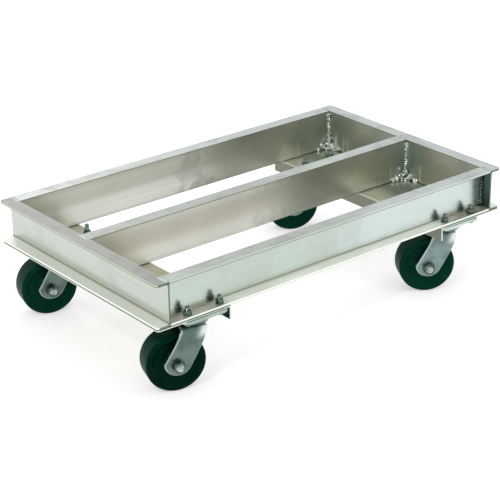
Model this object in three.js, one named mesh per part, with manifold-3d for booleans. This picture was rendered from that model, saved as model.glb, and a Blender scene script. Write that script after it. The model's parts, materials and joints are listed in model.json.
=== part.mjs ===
// Caster dolly: an open deck welded from five aluminium channels, carried by four swivel casters.
// Millimetres, +Z up, origin on the floor under the middle of the deck. +X runs along the deck and
// -Y is its front side. Each caster stands turned a little, as it came to rest.
import * as THREE from "three";
import { mergeVertices } from "three/addons/utils/BufferGeometryUtils.js";
import Module from "manifold-3d";

const wasm = await Module();
wasm.setup();

// Deck frame
const deckLength = 762;
const deckWidth = 457.2;
const channelHeight = 76.2;
const channelFlange = 25.4;
const webThickness = 3.2;
const flangeThickness = 4;
const flangeCornerRadius = 6;
const weldGap = 0.3;
const seatGap = 0.3;

// Cross angles under the deck, whose flat legs reach to its ends
const angleDrop = 25.4;
const angleThickness = 3.2;
const angleBend = 3;

// Caster places: kingpin inset from the deck's ends, outer bolts' inset from its sides, and the
// angle each fork rests at
const kingpinEndInset = 96.6;
const boltEdgeInset = 9.35;
const restDegrees = { front_left: 18.7, rear_left: 14.4, front_right: 29.9, rear_right: 24 };

// Caster top plate and its bolts
const plateThickness = 4.8;
const plateCorner = 12;
const plateSideGap = 0.4;
const boltPattern = 63.5;
const boltMargin = 12.7;
const boltDiameter = 7.9;
const boltClearance = 0.4;
const boltAcrossFlats = 12.7;
const boltHeadHeight = 5.3;
const boltNutHeight = 8.9;
const boltRise = 15.6;
const boltChamfer = 1.2;

// Swivel bearing
const cupSkirt = 3.4;
const cupSkirtGap = 2;
const cupCeiling = 4.4;
const cupShoulder = 2.5;
const ballDiameter = 6.4;
const ballTrackRadius = 22;
const ballCount = 8;
const cageThickness = 1.6;
const cageWidth = 4.4;
const cageSideGap = 4.4;
const runningGap = 0.3;
const racePadMargin = 5.5;
const racePadHeight = 3.5;
const racePadSink = 1.5;
const kingpinDiameter = 12.4;
const kingpinClearance = 0.35;
const kingpinFlangeRadius = 12;
const kingpinFlangeThickness = 2.6;
const kingpinHeadRadius = 8.4;
const kingpinHeadHeight = 3.6;
const kingpinHeadDome = 1.5;

// Fork: a bent strip whose two legs slant back to the axle and end in a round foot
const forkThickness = 4;
const forkInnerBend = 4;
const forkFrontReach = 17;
const forkFrontKnee = 14.5;
const forkFrontKneeDrop = 14;
const forkRearReach = 28.5;
const forkRearKneeDrop = 8;
const forkTrail = 34.5;
const forkFootRadius = 23.7;
const forkFootRise = 6.6;
const forkFootFrontDegrees = -34;
const forkFootRearDegrees = 186;

// Wheel, bushing and axle
const wheelDiameter = 101.6;
const wheelWidth = 42;
const wheelSideGap = 5.4;
const wheelHeadGap = 3.8;
const wheelEdgeRadius = 5.5;
const wheelRimDepth = 8;
const wheelRimSlope = 2;
const wheelDish = 4;
const wheelHubRadius = 19;
const wheelHubSlope = 1.5;
const hubSideGap = 0.7;
const axleDiameter = 12.7;
const axleClearance = 0.3;
const bushingWall = 2.85;
const bushingClearance = 0.35;
const axleAcrossFlats = 19;
const axleNutHeight = 9.2;
const axleEndReach = 3.4;
const axleHeadHeight = 7.6;
const axleChamfer = 1.5;

// One overrun for every cut that passes right through, and the distance at which corners are one
const cutOverrun = 5;
const mergeDistance = 1e-4;

// Facets of round shapes
const wheelFacets = 36;
const roundFacets = 24;
const holeFacets = 12;
const ballDetail = 1;
const filletSteps = 3;

// Sizes that follow from those above
const plateSize = boltPattern + 2 * boltMargin;
const cupRadius = ballTrackRadius + cageWidth / 2 + cageSideGap + cupSkirt;
const racePadRadius = ballTrackRadius + racePadMargin;
const wheelRadius = wheelDiameter / 2;
const forkInside = wheelWidth / 2 + wheelSideGap;
const forkHalfWidth = forkInside + forkThickness;
const bushingRadius = axleDiameter / 2 + axleClearance + bushingWall;

// Levels above the floor, from the wheel upwards
const kingpinTip = wheelDiameter + wheelHeadGap;
const kingpinHeadTop = kingpinTip + kingpinHeadHeight;
const kingpinFlangeTop = kingpinHeadTop + kingpinFlangeThickness;
const crownBottom = kingpinFlangeTop + runningGap;
const crownTop = crownBottom + forkThickness;
const padTop = crownTop + racePadHeight;
const ballCentre = padTop + runningGap + ballDiameter / 2;
const cupUnderside = ballCentre + ballDiameter / 2 + runningGap;
const cupTop = cupUnderside + cupCeiling;
const plateBottom = cupTop + seatGap;
const plateTop = plateBottom + plateThickness;
const angleBottom = plateTop + seatGap;
const angleTop = angleBottom + angleThickness;
const railBottom = angleTop + seatGap;
const flangeTop = railBottom + flangeThickness;
const boltEnd = flangeTop + boltRise;

// Places in plan
const kingpinX = deckLength / 2 - kingpinEndInset;
const kingpinY = deckWidth / 2 - boltEdgeInset - boltPattern / 2;
const angleX = kingpinX - plateSize / 2 - plateSideGap - angleThickness;
const angleWidth = deckLength / 2 - angleX;

// Colours seen on the real object
const aluminium = { color: 0xc9d0c8, roughness: 0.42, metalness: 0.9 };
const zinc = { color: 0x9aa8a6, roughness: 0.35, metalness: 0.9 };
const darkSteel = { color: 0x5d6a66, roughness: 0.5, metalness: 0.85 };
const wheelGreen = { color: 0x04251a, roughness: 0.22, metalness: 0 };

// A solid from a closed geometry, moved by a matrix where one is given
function solid(geometry, matrix) {
  const loose = geometry.index ? geometry.toNonIndexed() : geometry.clone();
  loose.deleteAttribute("normal");
  loose.deleteAttribute("uv");
  if (matrix) loose.applyMatrix4(matrix);
  const merged = mergeVertices(loose, mergeDistance);
  return new wasm.Manifold(
    new wasm.Mesh({
      numProp: 3,
      vertProperties: merged.attributes.position.array,
      triVerts: new Uint32Array(merged.index.array),
    }),
  );
}

function geometryOf(body) {
  const mesh = body.getMesh();
  const geometry = new THREE.BufferGeometry();
  geometry.setAttribute("position", new THREE.BufferAttribute(mesh.vertProperties, 3));
  geometry.setIndex(new THREE.BufferAttribute(mesh.triVerts, 1));
  const flat = geometry.toNonIndexed();
  flat.computeVertexNormals();
  return flat;
}

// An outline [[x, y], ...] raised from level "from" to level "to"
function prism(outline, from, to) {
  const shape = new THREE.Shape(outline.map(([x, y]) => new THREE.Vector2(x, y)));
  const geometry = new THREE.ExtrudeGeometry(shape, { depth: to - from, bevelEnabled: false });
  return solid(geometry.translate(0, 0, from));
}

// A profile [[radius, level], ...] turned about Z
function turned(profile, facets) {
  const points = profile.map(([radius, level]) => new THREE.Vector2(radius, level));
  const closed = points.concat([points[0].clone()]);
  const geometry = new THREE.LatheGeometry(closed, facets).rotateX(Math.PI / 2);
  return solid(geometry);
}

function arc(cx, cy, radius, fromDegrees, toDegrees, steps) {
  return Array.from({ length: steps + 1 }, (_, i) => {
    const a = THREE.MathUtils.degToRad(fromDegrees + ((toDegrees - fromDegrees) * i) / steps);
    return [cx + radius * Math.cos(a), cy + radius * Math.sin(a)];
  });
}

const rod = (x, y, radius, from, to, facets) =>
  prism(arc(x, y, radius, 0, 360, facets).slice(0, -1), from, to);

// A hexagon across flats, its flats square to Y
const hexagon = (x, y, acrossFlats, from, to) =>
  rod(x, y, acrossFlats / Math.sqrt(3), from, to, 6);

function moved(body, matrix) {
  return solid(geometryOf(body), matrix);
}

function mesh(name, body, look) {
  const made = new THREE.Mesh(geometryOf(body), new THREE.MeshStandardMaterial(look));
  made.name = name;
  return made;
}

// Stands a shape drawn lying down upright: its second axis becomes Z
const upright = new THREE.Matrix4().makeRotationX(Math.PI / 2);

// A block over a plan whose two corners at X = reach are rounded
function roundedPlan(reach, length, radius, from, to) {
  const near = arc(reach - radius, radius - length / 2, radius, -90, 0, filletSteps);
  const far = arc(reach - radius, length / 2 - radius, radius, 0, 90, filletSteps);
  const plan = [[0, -length / 2], ...near, ...far, [0, length / 2]];
  return prism(plan, from - cutOverrun, to + cutOverrun);
}

// A channel along Y, its web's back on the plane X = 0 and its flanges toward +X
function channel(length, cornerRadius) {
  const f = channelFlange;
  const h = channelHeight;
  const t = flangeThickness;
  const w = webThickness;
  const section = [[0, 0], [f, 0], [f, t], [w, t], [w, h - t], [f, h - t], [f, h], [0, h]];
  const bar = moved(prism(section, -length / 2, length / 2), upright);
  return cornerRadius ? bar.intersect(roundedPlan(f, length, cornerRadius, 0, h)) : bar;
}

const corners = {
  front_left: [-1, -1],
  rear_left: [-1, 1],
  front_right: [1, -1],
  rear_right: [1, 1],
};
const boltOffsets = [[-1, -1], [1, -1], [1, 1], [-1, 1]].map(([u, v]) => [
  (u * boltPattern) / 2,
  (v * boltPattern) / 2,
]);

// Every bolt's place on the deck
const boltPlaces = Object.values(corners).flatMap(([sx, sy]) =>
  boltOffsets.map(([u, v]) => [sx * kingpinX + u, sy * kingpinY + v]),
);

// Bolt holes through a bar that stands turned by "angle" at [px, py]
function drilled(body, px, py, angle, from, to) {
  const c = Math.cos(angle);
  const s = Math.sin(angle);
  const radius = boltDiameter / 2 + boltClearance;
  return boltPlaces.reduce((left, [x, y]) => {
    const dx = x - px;
    const dy = y - py;
    return left.subtract(rod(dx * c + dy * s, dy * c - dx * s, radius, from, to, holeFacets));
  }, body);
}

const dolly = new THREE.Group();

function addRail(name, bar, px, py, angle) {
  const through = drilled(bar, px, py, angle, -cutOverrun, flangeThickness + cutOverrun);
  const rail = mesh(name, through, aluminium);
  rail.position.set(px, py, railBottom);
  rail.rotation.z = angle;
  dolly.add(rail);
}

// Deck: two end rails the full width of the deck, two side rails and a centre rail between their webs
const endWebX = deckLength / 2 - channelFlange;
const sideWebY = deckWidth / 2 - channelFlange;
const sideLength = 2 * (endWebX - weldGap);
const endRail = channel(deckWidth, flangeCornerRadius);
const sideRail = channel(sideLength, 0);
addRail("left_end_rail", endRail, -endWebX, 0, Math.PI);
addRail("right_end_rail", endRail, endWebX, 0, 0);
addRail("front_side_rail", sideRail, 0, -sideWebY, -Math.PI / 2);
addRail("rear_side_rail", sideRail, 0, sideWebY, Math.PI / 2);
addRail("centre_rail", sideRail, 0, -channelFlange / 2, Math.PI / 2);

// Cross angles: a flat leg under the rails, as far as the end rail's flange, and a short leg hanging
// at the inner edge
const bendArc = arc(angleBend, -angleBend, angleBend, 90, 180, filletSteps);
const angleSection = [
  [angleWidth, 0],
  ...bendArc,
  [0, -angleDrop],
  [angleThickness, -angleDrop],
  [angleThickness, -angleThickness],
  [angleWidth, -angleThickness],
];
const angleBar = moved(prism(angleSection, -deckWidth / 2, deckWidth / 2), upright).intersect(
  roundedPlan(angleWidth, deckWidth, flangeCornerRadius, -angleDrop, 0),
);
for (const [name, side, turn] of [["left_cross_angle", -1, Math.PI], ["right_cross_angle", 1, 0]]) {
  const floor = -angleThickness - cutOverrun;
  const bar = drilled(angleBar, side * angleX, 0, turn, floor, cutOverrun);
  const angle = mesh(name, bar, aluminium);
  angle.position.set(side * angleX, 0, angleTop);
  angle.rotation.z = turn;
  dolly.add(angle);
}

// Top plate: square with rounded corners, four bolt holes and the kingpin hole
function topPlate() {
  const c = plateSize / 2 - plateCorner;
  const outline = [[1, 1, 0], [-1, 1, 90], [-1, -1, 180], [1, -1, 270]].flatMap(([u, v, a]) =>
    arc(u * c, v * c, plateCorner, a, a + 90, filletSteps),
  );
  const holes = boltOffsets.map(([u, v]) => [u, v, boltDiameter / 2 + boltClearance]);
  holes.push([0, 0, kingpinDiameter / 2 + kingpinClearance]);
  return holes.reduce(
    (left, [u, v, r]) =>
      left.subtract(rod(u, v, r, plateBottom - cutOverrun, plateTop + cutOverrun, holeFacets)),
    prism(outline, plateBottom, plateTop),
  );
}

// Upper race: a cup under the plate whose skirt shields the balls
function raceCup() {
  const bore = kingpinDiameter / 2 + kingpinClearance;
  const skirtBottom = padTop + cupSkirtGap;
  return turned(
    [
      [bore, cupUnderside],
      [cupRadius - cupSkirt, cupUnderside],
      [cupRadius - cupSkirt, skirtBottom],
      [cupRadius, skirtBottom],
      ...arc(cupRadius - cupShoulder, cupTop - cupShoulder, cupShoulder, 0, 90, filletSteps),
      [bore, cupTop],
    ],
    roundFacets,
  );
}

// Bearing balls held in a thin cage ring
function ballCage() {
  const inner = ballTrackRadius - cageWidth / 2;
  const outer = ballTrackRadius + cageWidth / 2;
  const low = ballCentre - cageThickness / 2;
  const high = ballCentre + cageThickness / 2;
  const ring = turned([[inner, low], [outer, low], [outer, high], [inner, high]], roundFacets);
  const ball = new THREE.OctahedronGeometry(ballDiameter / 2, ballDetail);
  return Array.from({ length: ballCount }, (_, i) => {
    const a = (2 * Math.PI * i) / ballCount;
    const x = ballTrackRadius * Math.cos(a);
    const y = ballTrackRadius * Math.sin(a);
    return solid(ball, new THREE.Matrix4().makeTranslation(x, y, ballCentre));
  }).reduce((all, one) => all.add(one), ring);
}

// Kingpin: its flanged head under the crown holds the fork up to the plate
function kingpin() {
  const r = kingpinDiameter / 2;
  return turned(
    [
      [0, kingpinTip],
      [kingpinHeadRadius - kingpinHeadDome, kingpinTip],
      [kingpinHeadRadius, kingpinTip + kingpinHeadDome],
      [kingpinHeadRadius, kingpinHeadTop],
      [kingpinFlangeRadius, kingpinHeadTop],
      [kingpinFlangeRadius, kingpinFlangeTop],
      [r, kingpinFlangeTop],
      [r, plateTop],
      [0, plateTop],
    ],
    holeFacets,
  );
}

// Fork: the strip is bent over the wheel, then both legs are cut to their side outline
function fork() {
  const h = forkHalfWidth;
  const t = forkThickness;
  const low = -cutOverrun;
  const bend = forkInnerBend + t;
  const bendOut = arc(h - bend, crownTop - bend, bend, 0, 90, filletSteps);
  const bendIn = arc(h - bend, crownTop - bend, forkInnerBend, 90, 0, filletSteps);
  const mirror = (points) => points.map(([x, y]) => [-x, y]).reverse();
  const strip = [[h - t, low], [h, low], ...bendOut, ...mirror(bendOut), [-h, low], [t - h, low]];
  const bent = strip.concat(mirror(bendIn), bendIn);
  const alongX = new THREE.Matrix4().makeBasis(
    new THREE.Vector3(0, 1, 0),
    new THREE.Vector3(0, 0, 1),
    new THREE.Vector3(1, 0, 0),
  );
  const reach = forkTrail + forkFootRadius + cutOverrun;
  const arch = moved(prism(bent, -reach, reach), alongX);
  const foot = arc(
    -forkTrail,
    wheelRadius + forkFootRise,
    forkFootRadius,
    forkFootFrontDegrees,
    forkFootRearDegrees - 360,
    3 * filletSteps,
  );
  const side = [
    [-forkRearReach, crownTop + cutOverrun],
    [-forkRearReach, crownTop - forkRearKneeDrop],
    ...foot.reverse(),
    [forkFrontKnee, crownTop - forkFrontKneeDrop],
    [forkFrontReach, crownTop],
    [forkFrontReach, crownTop + cutOverrun],
  ];
  const legs = arch.intersect(moved(prism(side, -h - cutOverrun, h + cutOverrun), upright));
  const pad = rod(0, 0, racePadRadius, crownTop - racePadSink, padTop, roundFacets);
  const boreRadius = kingpinDiameter / 2 + kingpinClearance;
  const bore = rod(0, 0, boreRadius, crownBottom - cutOverrun, padTop + cutOverrun, holeFacets);
  const end = h + cutOverrun;
  const axleHole = across(rod(0, 0, axleDiameter / 2 + axleClearance, -end, end, holeFacets));
  return legs.add(pad).subtract(bore).subtract(axleHole);
}

// A piece drawn about Z laid along the axle, its +Z end toward the rear
function across(body) {
  const lay = new THREE.Matrix4().makeRotationX(-Math.PI / 2);
  return moved(body, new THREE.Matrix4().makeTranslation(-forkTrail, 0, wheelRadius).multiply(lay));
}

// Wheel: solid, with a dished face between the rim and a hub that stands out to the fork's legs
function wheel() {
  const half = wheelWidth / 2;
  const hubHalf = forkInside - hubSideGap;
  const rimInside = wheelRadius - wheelEdgeRadius - wheelRimDepth;
  const web = half - wheelDish;
  const bore = bushingRadius + bushingClearance;
  const edge = arc(
    wheelRadius - wheelEdgeRadius,
    half - wheelEdgeRadius,
    wheelEdgeRadius,
    0,
    90,
    filletSteps,
  );
  const upper = [
    ...edge,
    [rimInside + wheelRimSlope, half],
    [rimInside, web],
    [wheelHubRadius + wheelHubSlope, web],
    [wheelHubRadius, hubHalf],
    [bore, hubHalf],
  ];
  const lower = upper.map(([r, z]) => [r, -z]).reverse();
  return turned([...lower, ...upper], wheelFacets);
}

// Bushing: held between the legs, and the wheel turns on it
function bushing() {
  const half = forkInside - seatGap;
  const inner = axleDiameter / 2 + axleClearance;
  const outer = bushingRadius;
  return turned([[inner, -half], [outer, -half], [outer, half], [inner, half]], holeFacets);
}

// A round bar whose lower end is chamfered
function pin(radius, chamfer, from, to, facets) {
  return turned(
    [[0, from], [radius - chamfer, from], [radius, from + chamfer], [radius, to], [0, to]],
    facets,
  );
}

// Axle bolt: its head at the rear leg, its end standing out past the nut at the front leg
function axleBolt() {
  const seat = forkHalfWidth + seatGap;
  const end = -(seat + axleNutHeight + axleEndReach);
  const shank = pin(axleDiameter / 2, axleChamfer, end, seat + axleHeadHeight / 2, holeFacets);
  return shank.add(hexagon(0, 0, axleAcrossFlats, seat, seat + axleHeadHeight));
}

function axleNut() {
  const seat = forkHalfWidth + seatGap;
  const bore = rod(
    0,
    0,
    axleDiameter / 2 + axleClearance,
    -seat - axleNutHeight - cutOverrun,
    cutOverrun - seat,
    holeFacets,
  );
  return hexagon(0, 0, axleAcrossFlats, -seat - axleNutHeight, -seat).subtract(bore);
}

// Mounting bolt with its nut run down on what it clamps: the deck's flange or the angle's flat leg
function mountBolt(clampTop) {
  const headTop = plateBottom - seatGap;
  const headBottom = headTop - boltHeadHeight;
  const flip = new THREE.Matrix4().makeRotationX(Math.PI);
  const shank = pin(
    boltDiameter / 2,
    boltChamfer,
    -boltEnd,
    -headBottom - boltHeadHeight / 2,
    holeFacets,
  );
  const nutBottom = clampTop + seatGap;
  return moved(shank, flip)
    .add(hexagon(0, 0, boltAcrossFlats, headBottom, headTop))
    .add(hexagon(0, 0, boltAcrossFlats, nutBottom, nutBottom + boltNutHeight));
}

const shapes = {
  plate: topPlate(),
  cup: raceCup(),
  kingpin: kingpin(),
  cage: ballCage(),
  fork: fork(),
  wheel: wheel(),
  bushing: bushing(),
  axleBolt: axleBolt(),
  axleNut: axleNut(),
  outerBolt: mountBolt(flangeTop),
  innerBolt: mountBolt(angleTop),
};

for (const [corner, [sx, sy]] of Object.entries(corners)) {
  const caster = new THREE.Group();
  caster.position.set(sx * kingpinX, sy * kingpinY, 0);
  caster.add(
    mesh(`${corner}_top_plate`, shapes.plate, zinc),
    mesh(`${corner}_race_cup`, shapes.cup, zinc),
    mesh(`${corner}_kingpin`, shapes.kingpin, darkSteel),
  );
  boltOffsets.forEach(([u, v], i) => {
    const outside = v * sy > 0;
    const body = outside ? shapes.outerBolt : shapes.innerBolt;
    const bolt = mesh(`${corner}_mounting_bolt_${i + 1}`, body, zinc);
    bolt.position.set(u, v, 0);
    caster.add(bolt);
  });

  const swivel = new THREE.Group();
  swivel.rotation.z = -THREE.MathUtils.degToRad(restDegrees[corner]);
  swivel.add(
    mesh(`${corner}_fork`, shapes.fork, zinc),
    mesh(`${corner}_ball_cage`, shapes.cage, darkSteel),
  );
  const axle = new THREE.Group();
  axle.position.set(-forkTrail, 0, wheelRadius);
  axle.rotation.x = -Math.PI / 2;
  axle.add(
    mesh(`${corner}_wheel`, shapes.wheel, wheelGreen),
    mesh(`${corner}_axle_bushing`, shapes.bushing, darkSteel),
    mesh(`${corner}_axle_bolt`, shapes.axleBolt, zinc),
    mesh(`${corner}_axle_nut`, shapes.axleNut, zinc),
  );
  swivel.add(axle);
  caster.add(swivel);
  dolly.add(caster);
}

export default dolly;
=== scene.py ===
import json
import math
import random

import bmesh
import bpy
from mathutils import Matrix, Vector, noise


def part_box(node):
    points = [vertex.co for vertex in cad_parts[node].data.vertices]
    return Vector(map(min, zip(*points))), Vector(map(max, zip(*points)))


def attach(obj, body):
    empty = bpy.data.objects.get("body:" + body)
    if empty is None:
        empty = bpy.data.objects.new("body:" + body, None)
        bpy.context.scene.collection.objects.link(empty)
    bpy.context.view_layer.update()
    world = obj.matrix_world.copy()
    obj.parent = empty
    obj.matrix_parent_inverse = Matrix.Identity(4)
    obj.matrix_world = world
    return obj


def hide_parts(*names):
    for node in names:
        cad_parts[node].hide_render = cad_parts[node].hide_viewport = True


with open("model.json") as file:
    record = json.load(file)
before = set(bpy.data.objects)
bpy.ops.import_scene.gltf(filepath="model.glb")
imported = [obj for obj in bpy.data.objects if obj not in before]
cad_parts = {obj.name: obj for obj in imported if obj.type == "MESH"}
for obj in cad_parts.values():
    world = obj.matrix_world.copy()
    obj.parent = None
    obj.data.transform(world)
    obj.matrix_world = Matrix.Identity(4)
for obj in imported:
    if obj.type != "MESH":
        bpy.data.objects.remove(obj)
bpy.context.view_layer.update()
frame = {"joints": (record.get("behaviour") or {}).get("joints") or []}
mm = 0.001


# Deck rails
# Five extruded aluminium channels, mill finish: two end rails across the deck and three rails
# between their webs. The flanges point outward, and the end rails' flange corners are rounded.

rail_web = 3.2 * mm
rail_flange = 4 * mm
rail_fillet = 3 * mm
rail_corner = 6 * mm
rail_edge = 0.45 * mm
drawn_across, drawn_along = (1, 0.012, 1), (0.012, 1, 1)
cool_stretch = (-20 * mm, 120 * mm)
brown_stretch = (120 * mm, 240 * mm)
bolt_stretch = (230 * mm, 270 * mm)
corner_shade_reach = 130 * mm
middle_stretch = (-100 * mm, 100 * mm)
aluminium_pale = (0.58, 0.615, 0.56, 1)
aluminium_greenish = (0.52, 0.60, 0.55, 1)
aluminium_dull = (0.49, 0.55, 0.49, 1)
aluminium_cool = (0.60, 0.68, 0.66, 1)
flange_brown = (0.29, 0.265, 0.18, 1)
aluminium_bright = (0.84, 0.87, 0.83, 1)
grime_and_crease_shade = (0.19, 0.18, 0.085, 1)
flange_pale_reflection = (0.98, 1.0, 0.93, 1)
sawn_end_shade = (0.07, 0.125, 0.095, 1)
top_grey = (0.46, 0.495, 0.465, 1)
top_cool = (0.55, 0.61, 0.595, 1)
top_dark = (0.335, 0.35, 0.33, 1)
top_rear = (0.60, 0.64, 0.615, 1)
top_smeared = (0.20, 0.175, 0.165, 1)
back_pale = (0.64, 0.65, 0.58, 1)
back_foot = (0.95, 0.985, 0.94, 1)
back_shade = (0.36, 0.37, 0.30, 1)
back_brown = (0.60, 0.58, 0.49, 1)
back_stain_and_shade = (0.37, 0.435, 0.375, 1)
back_recess_shade = (0.10, 0.15, 0.12, 1)
back_seat_shade = (0.06, 0.12, 0.09, 1)
back_streak = (0.33, 0.285, 0.20, 1)


def node(kind, settings=None, tree=None, **inputs):
    """A shader node in the tree of the sockets that feed it, or in "tree" where none does. An
    input is named in lower case, or i0, i1 ... by its place."""
    sockets = [value for value in inputs.values() if isinstance(value, bpy.types.NodeSocket)]
    tree = tree or sockets[0].id_data
    made = tree.nodes.new("ShaderNode" + kind)
    for name, value in (settings or {}).items():
        setattr(made, name, value)
    by_name = {socket.name.lower().replace(" ", "_"): socket for socket in reversed(made.inputs)}
    for name, value in inputs.items():
        socket = made.inputs[int(name[1:])] if name[1:].isdigit() else by_name[name]
        if value in sockets:
            tree.links.new(value, socket)
        else:
            socket.default_value = value
    return made


def arithmetic(operation, first, *others):
    """All the values taken together by one operation."""
    for value in others:
        first = node("Math", {"operation": operation}, i0=first, i1=value).outputs[0]
    return first


def times(*values):
    return arithmetic("MULTIPLY", *values)


def plus(*values):
    return arithmetic("ADD", *values)


def most(*values):
    return arithmetic("MAXIMUM", *values)


def absolute(value):
    return arithmetic("ABSOLUTE", value, 0.0)


def vector_math(operation, output="Vector", **inputs):
    return node("VectorMath", {"operation": operation}, **inputs).outputs[output]


def from_axis(place):
    """How far a place lies from the Z axis."""
    return vector_math("LENGTH", "Value", i0=vector_math("MULTIPLY", i0=place, i1=(1, 1, 0)))


def mottle(place, scale, detail=2.0, **more):
    return node("TexNoise", vector=place, scale=scale, detail=detail, **more).outputs[0]


def mixed(factor, a, b):
    """A colour between a and b."""
    return node("Mix", {"data_type": "RGBA"}, i0=factor, i6=a, i7=b).outputs[2]


def ranged(value, low, high, to_low=0.0, to_high=1.0):
    return node("MapRange", {"interpolation_type": "SMOOTHSTEP"}, value=value, from_min=low,
                from_max=high, to_min=to_low, to_max=to_high).outputs[0]


def group(name, inputs, outputs):
    """An empty node group with its sockets, and its own input and output nodes."""
    tree = bpy.data.node_groups.new(name, "ShaderNodeTree")
    for socket, kind, value in inputs:
        made = tree.interface.new_socket(socket, in_out="INPUT", socket_type="NodeSocket" + kind)
        if value is not None:
            made.default_value = value
    for socket, kind in outputs:
        tree.interface.new_socket(socket, in_out="OUTPUT", socket_type="NodeSocket" + kind)
    return tree, tree.nodes.new("NodeGroupInput").outputs, tree.nodes.new("NodeGroupOutput").inputs


def use(grouped, tree=None, **inputs):
    """The outputs of a node group placed in a material."""
    return node("Group", {"node_tree": grouped}, tree, **inputs).outputs


def grain_group():
    """Fine lines drawn out along one axis: the marks of an extrusion die or a belt."""
    tree, given, result = group(
        "drawn_grain",
        [("Vector", "Vector", None), ("Stretch", "Vector", (1, 1, 1)), ("Lines", "Float", 1.0)],
        [("Fine", "Float"), ("Broad", "Float")],
    )
    drawn = node("Mapping", vector=given["Vector"], scale=given["Stretch"]).outputs[0]
    fine = mottle(drawn, given["Lines"], 4.0, roughness=0.7)
    broad = mottle(drawn, times(given["Lines"], 0.12))
    tree.links.new(ranged(fine, 0.3, 0.7), result["Fine"])
    tree.links.new(ranged(broad, 0.35, 0.65), result["Broad"])
    return tree


def smudge_group():
    """Soft uneven patches, as handling and stacking leave on bare metal."""
    tree, given, result = group(
        "handling_smudges",
        [("Vector", "Vector", None), ("Size", "Float", 20.0), ("Spread", "Float", 0.1)],
        [("Mask", "Float"), ("Specks", "Float")],
    )
    place, size, spread = given["Vector"], given["Size"], given["Spread"]
    patches = mottle(place, size, 3.0, roughness=0.55, distortion=0.4)
    mask = ranged(patches, arithmetic("SUBTRACT", 0.56, spread), plus(0.56, spread))
    tree.links.new(mask, result["Mask"])
    tree.links.new(ranged(mottle(place, times(size, 24.0)), 0.66, 0.74), result["Specks"])
    return tree


def edge_group():
    """A mask that is 1 along worn edges and 0 on flat faces."""
    tree, given, result = group("worn_edges", [("Width", "Float", 0.001)], [("Mask", "Float")])
    round_normal = node("Bevel", {"samples": 4}, radius=given["Width"]).outputs[0]
    true_normal = node("NewGeometry", tree=tree).outputs["Normal"]
    facing = vector_math("DOT_PRODUCT", "Value", i0=round_normal, i1=true_normal)
    tree.links.new(ranged(facing, 0.99, 0.85), result["Mask"])
    return tree


drawn_grain = grain_group()
handling_smudges = smudge_group()
worn_edges = edge_group()


def material(name, metallic, roughness):
    """A new material, its tree, its Principled shader and the place that its patterns follow."""
    made = bpy.data.materials.new(name)
    made.use_nodes = True
    shader = made.node_tree.nodes["Principled BSDF"]
    shader.inputs["Metallic"].default_value = metallic
    shader.inputs["Roughness"].default_value = roughness
    place = node("TexCoord", tree=made.node_tree).outputs["Object"]
    return made, made.node_tree, shader, place


def fed(shader, **sources):
    """Links each source to the shader's input of that name."""
    for name, source in sources.items():
        shader.id_data.links.new(source, shader.inputs[name.replace("_", " ").title()])


def bumped(shader, height, distance, strength=0.5):
    fed(shader, normal=node("Bump", strength=strength, distance=distance, height=height).outputs[0])


def band(height, level, width):
    """A mask that is 1 along a level line and fades within "width" of it."""
    return ranged(absolute(arithmetic("SUBTRACT", height, level)), width, width * 0.35)


def near_group():
    """A mask that fades from an upright line through "Foot" to nothing at "Reach"."""
    tree, given, result = group(
        "near_upright",
        [("Vector", "Vector", None), ("Foot", "Vector", (0, 0, 0)), ("Reach", "Float", 0.1)],
        [("Mask", "Float")],
    )
    folded = vector_math("ABSOLUTE", i0=given["Vector"])
    away = from_axis(vector_math("SUBTRACT", i0=folded, i1=given["Foot"]))
    share = arithmetic("DIVIDE", away, given["Reach"])
    tree.links.new(ranged(share, 1.0, 0.0), result["Mask"])
    return tree


near_upright = near_group()


def own_faces(shape, name, chosen):
    """Marks the faces for which "chosen" holds, so that a material can tell them apart."""
    shape.normal_update()
    layer = shape.faces.layers.float.new(name)
    for face in shape.faces:
        face[layer] = 1.0 if chosen(face) else 0.0


def marked(tree, name):
    return node("Attribute", {"attribute_name": name}, tree).outputs["Fac"]


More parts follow.
